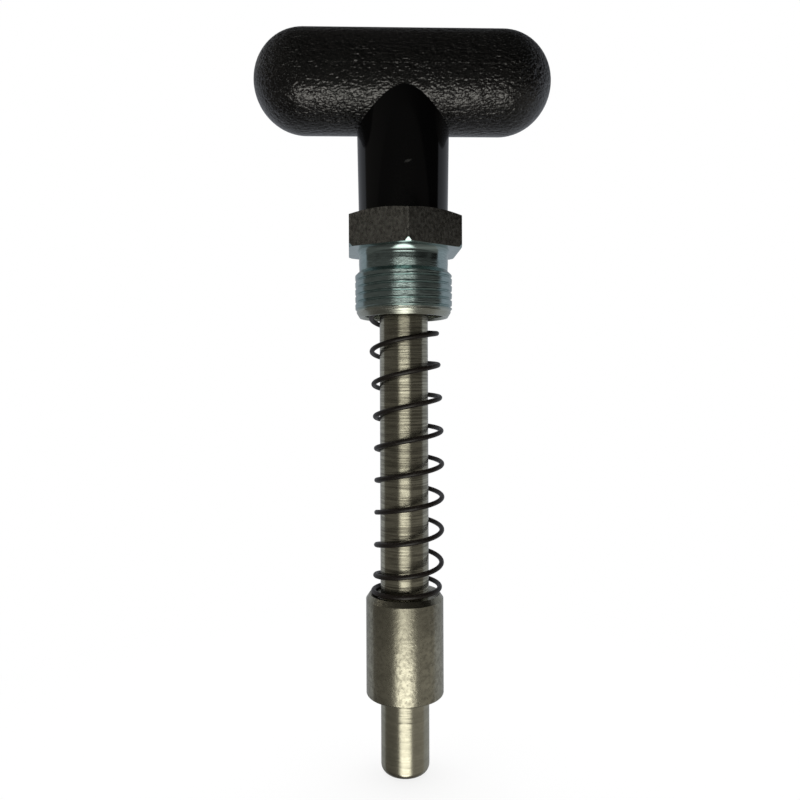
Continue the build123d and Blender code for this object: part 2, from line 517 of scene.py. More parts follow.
def run_rule(tree, sizes):
    """Runs the tree on an empty object with these sizes, and returns the plain mesh."""
    host = add_object(tree.name, bpy.data.meshes.new(tree.name))
    modifier = host.modifiers.new("rule", "NODES")
    modifier.node_group = tree
    for item in tree.interface.items_tree:
        if item.in_out == "INPUT":
            modifier[item.identifier] = sizes[item.name]
    depsgraph = bpy.context.evaluated_depsgraph_get()
    mesh = bpy.data.meshes.new_from_object(host.evaluated_get(depsgraph), depsgraph=depsgraph)
    host.modifiers.remove(modifier)
    bpy.data.objects.remove(host)
    print(f"{tree.name}: {len(mesh.vertices)} points")
    return mesh


# %% [markdown]
# ## Zinc plate
# The bush is steel with bright zinc plating, passivated a clear blue. Where the steel below was
# turned, the thin plating mirrors almost sharply, and tool marks run round the thread and the foot
# of the neck. The hexagon's sides are the drawn bar itself, so there the plating is dull and
# mottled, in spots a little longer along the bar. The rim of the thread's end is painted a paler,
# warmer grey, which stands in for the warm light that it mirrors, and it is a little rougher. The
# tool marks and the mottle are too fine for the mesh, and a picture of them would need a file and
# leave seams, so a noise texture, stretched along or round the axis, drives the colour, the
# roughness and a bump.


# %% Zinc plate
def zinc_plate(name, drawn):
    """Zinc plate on the drawn bar's sides, or else on the turned faces."""
    material, tree = new_material(name)
    place = add_node(tree, "ShaderNodeTexCoord")["Object"]
    # tool marks are about 0.1 mm apart on the real bush, and 0.22 mm here, so that they show
    around, along = (0.5, 0.7) if drawn else (1.8, 0.22)
    stretched = add_node(
        tree,
        "ShaderNodeMapping",
        {"Vector": place, "Scale": [1 / (size * MM) for size in (around, around, along)]},
    )["Vector"]
    mottle = add_node(
        tree, "ShaderNodeTexNoise", {"Vector": stretched, "Scale": 1.0, "Detail": 3.0}
    )["Fac"]
    contrast = add_node(
        tree, "ShaderNodeMapRange", {"Value": mottle, "From Min": 0.3, "From Max": 0.7}
    )["Result"]
    dark, pale = ("878681", "bcbbb5") if drawn else ("9fb1b0", "b6c9c8")
    colour = add_node(
        tree,
        "ShaderNodeMix",
        {0: contrast, 6: linear(dark), 7: linear(pale)},
        data_type="RGBA",
    )[2]
    smoothest, roughest = (0.22, 0.34) if drawn else (0.14, 0.26)
    rough = maths(tree, "MULTIPLY_ADD", contrast, roughest - smoothest, smoothest)
    relief, depth = mottle, 0.02
    if not drawn:
        height = add_node(tree, "ShaderNodeSeparateXYZ", {0: place})["Z"]
        # the tool marks end in the middle of the neck, and above it the plating is smoother
        marked = add_node(
            tree,
            "ShaderNodeMapRange",
            {"Value": height, "From Min": 6.5 * MM, "From Max": 6.0 * MM},
        )["Result"]
        # painted warmth: the rim gets a paler, warmer grey, for the warm light that it mirrors
        rim_painted_warm = add_node(
            tree,
            "ShaderNodeMapRange",
            {"Value": height, "From Min": -2.9 * MM, "From Max": -3.5 * MM},
        )["Result"]
        colour = add_node(
            tree,
            "ShaderNodeMix",
            {0: rim_painted_warm, 6: colour, 7: linear("c6cabf")},
            data_type="RGBA",
        )[2]
        rough = maths(tree, "MULTIPLY", rough, maths(tree, "MULTIPLY_ADD", marked, 0.35, 0.65))
        rough = maths(tree, "MULTIPLY_ADD", rim_painted_warm, 0.05, rough)
        relief, depth = maths(tree, "MULTIPLY", mottle, marked), 0.036
    bump = add_node(tree, "ShaderNodeBump", {"Height": relief, "Distance": depth * MM})["Normal"]
    shader = add_node(
        tree,
        "ShaderNodeBsdfPrincipled",
        {"Base Color": colour, "Metallic": 1.0, "Roughness": rough, "Normal": bump},
    )["BSDF"]
    add_node(tree, "ShaderNodeOutputMaterial", {"Surface": shader})
    return material


ZINC = zinc_plate("zinc_plate_on_turned_steel", False)
DRAWN_ZINC = zinc_plate("zinc_plate_on_drawn_bar", True)
print("finishes of the bush:", ZINC.name, "and", DRAWN_ZINC.name)

# %% [markdown]
# ## Turned steel
# The pin is bright steel, turned in one piece, and bare. The shaft carries the rings that the
# turning tool left. Bands of them are a little duller or shinier and break its bright line into
# short patches, and all of them spread reflections up and down. Thousands of rings cut into the
# mesh would do that, but an anisotropic gloss, stretched along the axis, does it without one. The
# collar is clouded and speckled with small pits, and darker towards its top. The nose is polished
# by the hole that it slides in. One function makes all three, with more or less of each.


# %% Turned steel
# the collar grows darker upwards between these heights
DARKENS_FROM_Z, DARKEST_FROM_Z = -74, -66


def turned_steel(name, ring_width, rings, pits, smooth, rough, top_shade=1.0, stretch=0.0):
    """Bright steel. rings and pits say how much of each shows, smooth and rough are the roughness
    of the brightest and the dullest spots, and stretch spreads reflections along the axis."""
    material, tree = new_material(name)
    place = add_node(tree, "ShaderNodeTexCoord")["Object"]
    # a ring keeps its shade for some 8 mm round the pin, and its width is coarser than the real
    # 0.1 to 0.2 mm, so that it shows
    round_about = add_node(
        tree, "ShaderNodeMapping", {"Vector": place, "Scale": (130, 130, 1 / (ring_width * MM))}
    )["Vector"]
    ringed = add_node(
        tree, "ShaderNodeTexNoise", {"Vector": round_about, "Scale": 1.0, "Detail": 2.0}
    )["Fac"]
    ringed = add_node(
        tree, "ShaderNodeMapRange", {"Value": ringed, "From Min": 0.35, "From Max": 0.65}
    )["Result"]
    speckle = add_node(
        tree, "ShaderNodeTexNoise", {"Vector": place, "Scale": 1 / (0.8 * MM), "Detail": 3.0}
    )["Fac"]
    clouded = add_node(
        tree, "ShaderNodeMapRange", {"Value": speckle, "From Min": 0.3, "From Max": 0.58}
    )["Result"]
    # the pits lie about 0.8 mm apart, and are 0.2 to 0.4 mm across
    spots = add_node(tree, "ShaderNodeTexVoronoi", {"Vector": place, "Scale": 1 / (0.8 * MM)})
    pitted = add_node(
        tree,
        "ShaderNodeMapRange",
        {"Value": spots["Distance"], "From Min": 0.1, "From Max": 0.24},
    )["Result"]
    pitted = maths(tree, "MULTIPLY", pitted, clouded)
    height = add_node(tree, "ShaderNodeSeparateXYZ", {0: place})["Z"]
    shaded = add_node(
        tree,
        "ShaderNodeMapRange",
        {
            "Value": height,
            "From Min": DARKENS_FROM_Z * MM,
            "From Max": DARKEST_FROM_Z * MM,
            "To Min": 1.0,
            "To Max": top_shade,
        },
    )["Result"]
    shine = maths(tree, "MULTIPLY_ADD", ringed, rings, 1.0 - rings)
    shine = maths(tree, "MULTIPLY", shine, maths(tree, "MULTIPLY_ADD", pitted, pits, 1.0 - pits))
    colour = add_node(
        tree,
        "ShaderNodeMix",
        {0: maths(tree, "MULTIPLY", shine, shaded), 6: linear("6f6b5f"), 7: linear("c9c6b3")},
        data_type="RGBA",
    )[2]
    relief = maths(tree, "MULTIPLY_ADD", maths(tree, "ADD", pitted, speckle), pits, ringed)
    bump = add_node(tree, "ShaderNodeBump", {"Height": relief, "Distance": 0.02 * MM})["Normal"]
    along_axis = add_node(
        tree,
        "ShaderNodeVectorTransform",
        {"Vector": (0, 0, 1)},
        convert_from="OBJECT",
        convert_to="WORLD",
    )["Vector"]
    shader = add_node(
        tree,
        "ShaderNodeBsdfPrincipled",
        {
            "Base Color": colour,
            "Metallic": 1.0,
            "Roughness": maths(tree, "MULTIPLY_ADD", shine, smooth - rough, rough),
            "Anisotropic": stretch,
            "Tangent": along_axis,
            "Normal": bump,
        },
    )["BSDF"]
    add_node(tree, "ShaderNodeOutputMaterial", {"Surface": shader})
    return material


SHAFT_STEEL = turned_steel(
    "turned_steel_shaft",
    ring_width=0.35,
    rings=0.65,
    pits=0.12,
    smooth=0.18,
    rough=0.4,
    stretch=0.8,
)
COLLAR_STEEL = turned_steel(
    "turned_steel_collar",
    ring_width=2.5,
    rings=0.2,
    pits=0.48,
    smooth=0.2,
    rough=0.43,
    top_shade=0.75,
)
NOSE_STEEL = turned_steel(
    "turned_steel_nose", ring_width=1.0, rings=0.2, pits=0.12, smooth=0.2, rough=0.32
)
print("finishes of the pin:", SHAFT_STEEL.name, COLLAR_STEEL.name, NOSE_STEEL.name)

# %% [markdown]
# ## Spring wire
# The spring is hard-drawn wire with the blackish brown oxide skin of its heat treatment, oiled, so
# it shines a little. The wire is only 1 mm thick, so one plain shader says all that the eye can see
# of it. The oxide hides the metal, so it isn't metallic.


# %% Spring wire
def dark_spring_wire():
    material, tree = new_material("dark_spring_wire")
    shader = add_node(
        tree, "ShaderNodeBsdfPrincipled", {"Base Color": linear("1d1815"), "Roughness": 0.38}
    )["BSDF"]
    add_node(tree, "ShaderNodeOutputMaterial", {"Surface": shader})
    return material


WIRE = dark_spring_wire()
print("finish of the spring:", WIRE.name)

# %% [markdown]
# ## Black nylon
# The handle is moulded in black glass-filled nylon. The mould of the crossbar is etched with a
# leather grain for grip: low wavy cells, longer along the bar, with grooves between them and fine
# pips on them. The grain is deepest on top and gentle below, where fingers have rubbed it. Real
# dents would take millions of faces, so a smooth Voronoi texture drives a bump, and a noise bends
# its cells first, because straight cells look like tiles.


# %% Black nylon, grained
def grained_black_nylon():
    material, tree = new_material("grained_black_nylon")
    place = add_node(tree, "ShaderNodeTexCoord")["Object"]
    wander = add_node(
        tree, "ShaderNodeTexNoise", {"Vector": place, "Scale": 1 / (0.9 * MM), "Detail": 1.0}
    )["Color"]
    wander = add_node(
        tree,
        "ShaderNodeVectorMath",
        {0: wander, 1: (0.5, 0.5, 0.5)},
        operation="SUBTRACT",
    )["Vector"]
    wavy = add_node(
        tree,
        "ShaderNodeVectorMath",
        {0: wander, 1: (1.1 * MM, 1.1 * MM, 1.1 * MM), 2: place},
        operation="MULTIPLY_ADD",
    )["Vector"]
    long_cells = add_node(
        tree, "ShaderNodeMapping", {"Vector": wavy, "Scale": (0.42, 1.0, 1.0)}
    )["Vector"]
    cells = add_node(
        tree,
        "ShaderNodeTexVoronoi",
        {"Vector": long_cells, "Scale": 1 / (0.55 * MM), "Smoothness": 0.5},
        feature="SMOOTH_F1",
    )["Distance"]
    domes = maths(tree, "MULTIPLY", maths(tree, "MULTIPLY", cells, cells), -1.0)
    patches = add_node(tree, "ShaderNodeTexNoise", {"Vector": place, "Scale": 1 / (9 * MM)})
    depth = maths(tree, "MULTIPLY_ADD", patches["Fac"], 1.4, 0.3)
    height = add_node(tree, "ShaderNodeSeparateXYZ", {0: place})["Z"]
    unworn = add_node(
        tree,
        "ShaderNodeMapRange",
        {
            "Value": height,
            "From Min": (CROSSBAR_Z - 4) * MM,
            "From Max": (CROSSBAR_Z + 6) * MM,
            "To Min": 0.55,
            "To Max": 2.3,
        },
    )["Result"]
    relief = maths(tree, "MULTIPLY", domes, maths(tree, "MULTIPLY", depth, unworn))
    pips = add_node(
        tree, "ShaderNodeTexNoise", {"Vector": place, "Scale": 1 / (0.35 * MM), "Detail": 0.0}
    )["Fac"]
    pips = add_node(
        tree, "ShaderNodeMapRange", {"Value": pips, "From Min": 0.6, "From Max": 0.75}
    )["Result"]
    pips = maths(tree, "MULTIPLY", pips, unworn)
    relief = maths(tree, "MULTIPLY_ADD", pips, 0.45, relief)
    bump = add_node(tree, "ShaderNodeBump", {"Height": relief, "Distance": 0.27 * MM})["Normal"]
    shader = add_node(
        tree,
        "ShaderNodeBsdfPrincipled",
        {"Base Color": linear("050505"), "Roughness": 0.18, "IOR": 1.7, "Normal": bump},
    )["BSDF"]
    add_node(tree, "ShaderNodeOutputMaterial", {"Surface": shader})
    return material


GRAINED = grained_black_nylon()
print("finish of the crossbar:", GRAINED.name)

# %% [markdown]
# The mould of the stem is polished, so the same plastic is smooth and shiny there. The front of the
# stem gets one small oval spot, paler and duller than the rest. A picture could hold such a mark,
# but an oval that is worked out from the place on the stem needs no file.


# %% Black nylon, smooth, with a small paler, duller spot on the front of the stem
def smooth_black_nylon():
    material, tree = new_material("smooth_black_nylon")
    place = add_node(tree, "ShaderNodeTexCoord")["Object"]
    # a slanting oval, paler and duller, 1 in its middle and 0 outside
    from_pale_spot = add_node(
        tree,
        "ShaderNodeMapping",
        {
            "Vector": place,
            "Location": (0.64 * MM, 0, 25.0 * MM),
            "Rotation": (0, math.radians(-20), 0),
            "Scale": (0.9 * MM, 3 * MM, 0.3 * MM),
        },
        vector_type="TEXTURE",
    )["Vector"]
    facing = add_node(tree, "ShaderNodeSeparateXYZ", {0: place})["Y"]
    flat = add_node(
        tree, "ShaderNodeVectorMath", {0: from_pale_spot, 1: (1, 0, 1)}, operation="MULTIPLY"
    )["Vector"]
    off = add_node(tree, "ShaderNodeVectorMath", {0: flat}, operation="LENGTH")["Value"]
    pale_spot = add_node(
        tree, "ShaderNodeMapRange", {"Value": off, "From Min": 1.0, "From Max": 0.2}
    )["Result"]
    pale_spot = maths(tree, "MULTIPLY", pale_spot, maths(tree, "LESS_THAN", facing, 0.0))
    colour = add_node(
        tree,
        "ShaderNodeMix",
        {0: pale_spot, 6: linear("060607"), 7: linear("2c2c2c")},
        data_type="RGBA",
    )[2]
    rough = maths(tree, "MULTIPLY_ADD", pale_spot, 0.4, 0.1)
    shader = add_node(
        tree,
        "ShaderNodeBsdfPrincipled",
        {"Base Color": colour, "Roughness": rough, "IOR": 1.45},
    )["BSDF"]
    add_node(tree, "ShaderNodeOutputMaterial", {"Surface": shader})
    return material


SMOOTH = smooth_black_nylon()
print("finish of the stem:", SMOOTH.name)

# %% [markdown]
# ## Brass
# The insert that is moulded into the handle is turned brass, a warm yellow with a satin shine. It
# is hidden inside, and its solid has the right shape already, so it keeps its solid and only gets
# its metal. The other solids' own colours are taken away, because new pieces replace them.


# %% Brass
def brass():
    material, tree = new_material("brass")
    shader = add_node(
        tree,
        "ShaderNodeBsdfPrincipled",
        {"Base Color": linear("c8a35a"), "Metallic": 1.0, "Roughness": 0.3},
    )["BSDF"]
    add_node(tree, "ShaderNodeOutputMaterial", {"Surface": shader})
    return material


BRASS = brass()
for node_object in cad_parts.values():
    node_object.data.materials.clear()
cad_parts["handle_insert"].data.materials.append(BRASS)
print("finish of the insert:", BRASS.name)

# %% [markdown]
# ## Bush
# The bush is one turned part: a hexagon, a relief neck and an M20 x 1.5 thread, with the guide bore
# and the spring chamber inside. Every ring of points round its axis is a row: the hexagon's rows
# have the radius of a hexagon, and the others are circles. The thread is a sheet of points wound
# round the axis, so that its rows climb by one pitch in a turn and lie on the thread's own edges.
# That takes far fewer faces than cutting a thread with a Boolean, and it leaves one closed skin.

# %% The thread's rule
THREAD_PITCH, CREST_Z, HEX_TURN = 1.5, 1.056, 2.3
NECK_LOW_RADIUS, END_RADIUS = 9.12, 9.1
THREAD_SIZES = {
    "Crest Radius": 10.0 * MM,
    "Root Radius": 9.7 * MM,
    "Pitch": THREAD_PITCH * MM,
    "Lower End": THREAD_END_Z * MM,
    "Upper End": NECK_Z * MM,
    "Lower Radius": END_RADIUS * MM,
    "Rim Radius": 9.72 * MM,
    "Rim Height": 1.45 * MM,
    "Upper Radius": NECK_LOW_RADIUS * MM,
    "Crest Lean": 0.07 * MM,
    "Lower Slope": 0.62,
    # a crest passes the first angle at CREST_Z, and the first row lies five turns below it
    "First Row Height": CREST_Z * MM - 5 * THREAD_PITCH * MM,
    "First Angle": math.radians(HEX_TURN - 30),
    # where the flank starts and ends, 0 on the middle of a crest and 1 on the middle of a root
    "Flank Start": 0.57,
    "Flank End": 15 / 16,
    "Segments": 240,
    "Turns": 8,
    "Rows In A Turn": 16,
}
rule, size = new_rule("thread", THREAD_SIZES)
rows = maths(rule, "MULTIPLY", size["Turns"], size["Rows In A Turn"])
grid = add_node(
    rule,
    "GeometryNodeMeshGrid",
    {
        "Size X": 1.0,
        "Size Y": 1.0,
        "Vertices X": maths(rule, "ADD", size["Segments"], 1.0),
        "Vertices Y": maths(rule, "ADD", rows, 1.0),
    },
)["Mesh"]
spot = add_node(
    rule, "ShaderNodeSeparateXYZ", {0: add_node(rule, "GeometryNodeInputPosition")["Position"]}
)
across = maths(rule, "ADD", spot["X"], 0.5)
up = maths(rule, "ADD", spot["Y"], 0.5)
angle = maths(rule, "MULTIPLY_ADD", across, 2 * math.pi, size["First Angle"])
turn = maths(rule, "MULTIPLY", up, size["Turns"])
climb = maths(rule, "MULTIPLY", maths(rule, "ADD", turn, across), size["Pitch"])
height = maths(rule, "ADD", climb, size["First Row Height"])
height = maths(
    rule, "MINIMUM", maths(rule, "MAXIMUM", height, size["Lower End"]), size["Upper End"]
)
past_crest = maths(rule, "SUBTRACT", maths(rule, "FRACT", maths(rule, "ADD", turn, 0.5)), 0.5)
off_crest = maths(rule, "MULTIPLY", maths(rule, "ABSOLUTE", past_crest), 2.0)
radius = add_node(
    rule,
    "ShaderNodeMapRange",
    {
        "Value": off_crest,
        "From Min": size["Flank Start"],
        "From Max": size["Flank End"],
        "To Min": size["Crest Radius"],
        "To Max": size["Root Radius"],
    },
    interpolation_type="SMOOTHSTEP",
)["Result"]
radius = maths(rule, "MULTIPLY_ADD", past_crest, size["Crest Lean"], radius)
print("rows wound for the thread:", THREAD_SIZES["Turns"] * THREAD_SIZES["Rows In A Turn"] + 1)

# %% [markdown]
# The sheet is wound longer than the thread and then cut to length. Points past either end are
# moved to the end's height, where they fall together and are merged. Both ends are chamfered, as on
# most cut threads. The free end, which has to start in its hole, goes in by two steps: a short cone
# at the rim, and a small one above the rim.

# %% The thread's ends, and its faces
from_lower = maths(rule, "SUBTRACT", height, size["Lower End"])
rim = maths(rule, "MULTIPLY_ADD", from_lower, size["Lower Slope"], size["Lower Radius"])
above_rim = maths(rule, "SUBTRACT", from_lower, size["Rim Height"])
lower_limit = maths(
    rule,
    "MAXIMUM",
    maths(rule, "MINIMUM", rim, size["Rim Radius"]),
    maths(rule, "ADD", size["Rim Radius"], above_rim),
)
from_upper = maths(rule, "SUBTRACT", size["Upper End"], height)
upper_limit = maths(rule, "ADD", from_upper, size["Upper Radius"])
radius = maths(rule, "MINIMUM", radius, maths(rule, "MINIMUM", lower_limit, upper_limit))
place = add_node(
    rule,
    "ShaderNodeCombineXYZ",
    {
        "X": maths(rule, "MULTIPLY", radius, maths(rule, "COSINE", angle)),
        "Y": maths(rule, "MULTIPLY", radius, maths(rule, "SINE", angle)),
        "Z": height,
    },
)["Vector"]
wound = add_node(rule, "GeometryNodeSetPosition", {"Geometry": grid, "Position": place})
joined = add_node(
    rule, "GeometryNodeMergeByDistance", {"Geometry": wound["Geometry"], "Distance": 0.001 * MM}
)
real = add_node(rule, "GeometryNodeRealizeInstances", {"Geometry": joined["Geometry"]})
plated = add_node(
    rule, "GeometryNodeSetMaterial", {"Geometry": real["Geometry"], "Material": ZINC}
)
add_node(rule, "NodeGroupOutput", {0: plated["Geometry"]})
thread_mesh = run_rule(rule, THREAD_SIZES)

# %% [markdown]
# The hexagon is what the spanner grips. Its top corners are chamfered by a cone, its lower ones are
# blunted by a smaller one, and the upright edges are worn by a few hundredths of a millimetre. The
# Bevel modifier would cut them all alike. Here the rows follow the real surfaces: where a cone cuts
# a flat side, the row's height changes along the side. Extra points beside each corner keep the
# small roundings narrow.

# %% The hexagon's rows
HEX_FLAT_RADIUS, HEX_CORNER_DROP, CORNER_WEAR = 11.3, 0.6, 0.05
HEX_CORNER_RADIUS = HEX_FLAT_RADIUS / math.cos(math.radians(30))
LOW_CONE_RADIUS, LOW_CONE_RISE, SEAT_EDGE = 12.7, 0.75, 0.06
SEGMENTS = THREAD_SIZES["Segments"]
SIDE_SEGMENTS = SEGMENTS // 6
FIRST_ANGLE = math.degrees(THREAD_SIZES["First Angle"])
# degrees from a corner to the points next to it
BESIDE_CORNER = {1: 0.8, 2: 1.2, 3: 2.5, 4: 6.0}


def past_corner(j):
    """Degrees from the hexagon's last corner to the j-th point of a ring."""
    number = j % SIDE_SEGMENTS
    left = SIDE_SEGMENTS - number
    return BESIDE_CORNER.get(number, 60 - BESIDE_CORNER.get(left, 60 / SIDE_SEGMENTS * left))


def hex_radius(j):
    """The hexagon's radius at the j-th point of a ring, a corner at the first point."""
    past = past_corner(j)
    wear = CORNER_WEAR if past in (0, 60) else 0
    return HEX_FLAT_RADIUS / math.cos(math.radians(past - 30)) - wear


def bush_ring(radius, z):
    """A ring of the bush. radius and z are numbers, or functions of the point's number."""
    ring = []
    for j in range(SEGMENTS):
        a = math.radians(FIRST_ANGLE + j // SIDE_SEGMENTS * 60 + past_corner(j))
        if not callable(radius):
            a = math.radians(FIRST_ANGLE + 360 * j / SEGMENTS)
        r = radius(j) if callable(radius) else radius
        h = z(j) if callable(z) else z
        ring.append((r * math.cos(a), r * math.sin(a), h))
    return ring


def top_cone_z(j):
    """Where the top chamfer's cone meets the side of the hexagon."""
    share = (hex_radius(j) - HEX_FLAT_RADIUS) / (HEX_CORNER_RADIUS - HEX_FLAT_RADIUS)
    return HEX_TOP_Z - HEX_CORNER_DROP * share


def low_cone_z(j):
    """Where the small cone that blunts the lower corners meets the side of the hexagon."""
    share = (hex_radius(j) - LOW_CONE_RADIUS) / (HEX_CORNER_RADIUS - LOW_CONE_RADIUS)
    return SEAT_Z + SEAT_EDGE + LOW_CONE_RISE * max(share, 0)


def seat_radius(j):
    """The rim of the hexagon's underside."""
    return min(hex_radius(j), LOW_CONE_RADIUS) - SEAT_EDGE


print("across the hexagon's corners, in mm:", round(2 * HEX_CORNER_RADIUS, 2))

# %% [markdown]
# The whole bush is now a list of rows. It starts in the spring chamber, runs up through the guide
# bore and down over the hexagon to the thread. A round-nosed tool left the hollow under the
# hexagon, and the neck narrows a little towards the thread. Three more rows make the rim and the
# chamfered mouth below. Where the rows end, their points lie on the thread's own, so they merge and
# one skin goes all the way round.

# %% The bush, from the chamber round to the thread
# the chamber is 0.2 mm wider than its solid's, which clears the leaning spring when it is pressed
CHAMBER_RADIUS, CHAMBER_CORNER, MOUTH_RADIUS, MOUTH_CHAMFER = 8.35, 0.4, 8.65, 0.5
GUIDE_RADIUS, GUIDE_CHAMFER, TOP_EDGE = 5.05, 0.4, 0.05
NECK_RADIUS, TAPER_TOP_Z = 9.2, 6.35
HOLLOW_RADIUS, HOLLOW_ANGLE = 2.2, 40
HOLLOW_LOW_Z = SEAT_Z - HOLLOW_RADIUS * math.sin(math.radians(HOLLOW_ANGLE))
hollow_centre = (NECK_RADIUS + HOLLOW_RADIUS, HOLLOW_LOW_Z)
hollow_arc = arc(hollow_centre, HOLLOW_RADIUS, 180 - HOLLOW_ANGLE, 180, 10)
upper_rows = [
    (CHAMBER_RADIUS, THREAD_END_Z + MOUTH_CHAMFER),
    (CHAMBER_RADIUS, CHAMBER_FLOOR_Z - CHAMBER_CORNER),
    (CHAMBER_RADIUS - CHAMBER_CORNER, CHAMBER_FLOOR_Z),
    (GUIDE_RADIUS, CHAMBER_FLOOR_Z),
    (GUIDE_RADIUS, HEX_TOP_Z - GUIDE_CHAMFER),
    (GUIDE_RADIUS + GUIDE_CHAMFER, HEX_TOP_Z),
    (HEX_FLAT_RADIUS - TOP_EDGE, HEX_TOP_Z),
    (hex_radius, top_cone_z),
    (hex_radius, low_cone_z),
    (seat_radius, SEAT_Z),
    *hollow_arc,
    # a close pair of rows at each end of the straight part keeps its smooth shading straight
    (NECK_RADIUS, HOLLOW_LOW_Z - 0.04),
    (NECK_RADIUS, TAPER_TOP_Z + 0.05),
    (NECK_RADIUS, TAPER_TOP_Z),
    (NECK_LOW_RADIUS, NECK_Z),
]
lower_rows = [
    (END_RADIUS, THREAD_END_Z),
    (MOUTH_RADIUS, THREAD_END_Z),
    (CHAMBER_RADIUS, THREAD_END_Z + MOUTH_CHAMFER),
]
points, faces = skin([bush_ring(radius, z) for radius, z in upper_rows])
more_points, more_faces = skin([bush_ring(radius, z) for radius, z in lower_rows])
faces += [tuple(i + len(points) for i in face) for face in more_faces]
points += more_points
faces += [tuple(i + len(points) for i in face.vertices) for face in thread_mesh.polygons]
points += [tuple(vertex.co) for vertex in thread_mesh.vertices]
hex_bush = piece("hex_bush", points, faces, [ZINC, DRAWN_ZINC])
# the upright faces farther out than the thread are the hexagon's sides, drawn and not turned
OUTSIDE_THREAD = 10.5
for face in hex_bush.data.polygons:
    if abs(face.normal.z) < 0.1 and Vector(face.center[:2]).length > OUTSIDE_THREAD * MM:
        face.material_index = 1
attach(hex_bush, "bush")
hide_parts("bush")

# %% [markdown]
# ## Pin
# Stud, shaft, collar and nose are one turned part. It could be stacked from cylinders, but one
# outline spun about the axis gives one closed skin with true edges. The stud's thread is hidden in
# the insert, so it stays a plain cylinder. The faces above, on and below the collar get their own
# finish.

# %% Pin
SHAFT_RADIUS, COLLAR_RADIUS = 5.0, 8.0
TIP_ROUNDING, LOW_EDGE_ROUNDING = 1.6, 0.3
COLLAR_CHAMFER, COLLAR_CHAMFER_HEIGHT = 0.7, 1.05
STUD_RADIUS, STUD_TOP_Z, STUD_CHAMFER = 4.0, 28.75, 0.8
PIN_SEGMENTS = 144
tip_arc = arc((SHAFT_RADIUS - TIP_ROUNDING, TIP_Z + TIP_ROUNDING), TIP_ROUNDING, -90, 0, 10)
low_edge_centre = (COLLAR_RADIUS - LOW_EDGE_ROUNDING, COLLAR_BOTTOM_Z + LOW_EDGE_ROUNDING)
low_edge_arc = arc(low_edge_centre, LOW_EDGE_ROUNDING, -90, 0, 5)
pin_outline = [
    (0, TIP_Z),
    *tip_arc,
    (SHAFT_RADIUS, COLLAR_BOTTOM_Z),
    *low_edge_arc,
    (COLLAR_RADIUS, COLLAR_TOP_Z - COLLAR_CHAMFER_HEIGHT),
    (COLLAR_RADIUS - COLLAR_CHAMFER, COLLAR_TOP_Z),
    (SHAFT_RADIUS, COLLAR_TOP_Z),
    (SHAFT_RADIUS, SHOULDER_Z),
    (STUD_RADIUS, SHOULDER_Z),
    (STUD_RADIUS, STUD_TOP_Z - STUD_CHAMFER),
    (STUD_RADIUS - STUD_CHAMFER, STUD_TOP_Z),
    (0, STUD_TOP_Z),
]
locating_pin = piece(
    "locating_pin", *lathe(pin_outline, PIN_SEGMENTS), [SHAFT_STEEL, COLLAR_STEEL, NOSE_STEEL]
)
for face in locating_pin.data.polygons:
    above_collar = face.center.z > (COLLAR_TOP_Z + 0.01) * MM
    below_collar = face.center.z < (COLLAR_BOTTOM_Z - 0.01) * MM
    face.material_index = 0 if above_collar else 2 if below_collar else 1
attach(locating_pin, "pin")
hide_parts("pin")

# %% [markdown]
# ## Spring
# The spring is wound from round wire. Its end turns are closed, so the pitch is small there and
# opens out gently between them. The slender spring doesn't stand straight: it leans out to one side
# between the collar and the bush, and each coil stays square to that bent line. The Screw modifier
# winds only an even, upright helix, so Geometry Nodes wind this one by a rule in three steps.

# %% The spring's sizes
SPRING_LENGTH, FREE_LENGTH = CHAMBER_FLOOR_Z - COLLAR_TOP_Z, 56.85
COIL_PITCH, CLOSED_PITCH, CLOSED_TURNS, END_LIFT = 6.72, 1.03, 0.827, 0.3
open_turns = (SPRING_LENGTH - 2 * (END_LIFT + CLOSED_TURNS * CLOSED_PITCH)) / COIL_PITCH
SPRING_SIZES = {
    "Coil Radius": 6.78 * MM,
    "Wire Radius": 0.5 * MM,
    "Closed Pitch": CLOSED_PITCH * MM,
    "Open Pitch": COIL_PITCH * MM,
    "Lower End": COLLAR_TOP_Z * MM,
    "Upper End": CHAMBER_FLOOR_Z * MM,
    "End Lift": END_LIFT * MM,
    "Turns": open_turns + 2 * CLOSED_TURNS,
    "Closed Turns": CLOSED_TURNS,
    "Opening Turns": 0.2,
    "First Turn": -0.625,
    "Free Length": FREE_LENGTH * MM,
    "Points": 720,
    "Wire Sides": 20,
}
# heights above the collar, and how far the spring's own axis stands off the pin's there
LEAN = (
    (0.0, 0.2),
    (2.35, 0.6),
    (5.25, 0.85),
    (11.65, 0.95),
    (18.35, 1.02),
    (24.95, 1.04),
    (31.65, 0.95),
    (38.45, 0.73),
    (45.25, 0.42),
    (52.35, 0.09),
    (FREE_LENGTH, 0.0),
)
# the most that the table can hold
LEAN_TOP = 2
print("the spring's turns:", round(SPRING_SIZES["Turns"], 2))

# %% [markdown]
# First, each point of a straight line gets a number of turns, and from that its height. The height
# climbs slowly in the closed turns and quickly between them. A curve that bends softly round zero
# makes the change gentle, as a winding machine does.

# %% The height of each point
rule, size = new_rule("wire_spring", SPRING_SIZES)
line = add_node(rule, "GeometryNodeCurvePrimitiveLine", {"End": (0, 0, 1)})["Curve"]
line = add_node(rule, "GeometryNodeResampleCurve", {"Curve": line, "Count": size["Points"]})
along = add_node(rule, "GeometryNodeSplineParameter")["Factor"]
turn = maths(rule, "MULTIPLY", along, size["Turns"])


def opened_by(past):
    """Turns past the point where the coils open, or close again, rounded off round zero."""
    share = maths(rule, "EXPONENT", maths(rule, "DIVIDE", past, size["Opening Turns"]))
    grown = maths(rule, "LOGARITHM", maths(rule, "ADD", share, 1.0), math.e)
    return maths(rule, "MULTIPLY", grown, size["Opening Turns"])


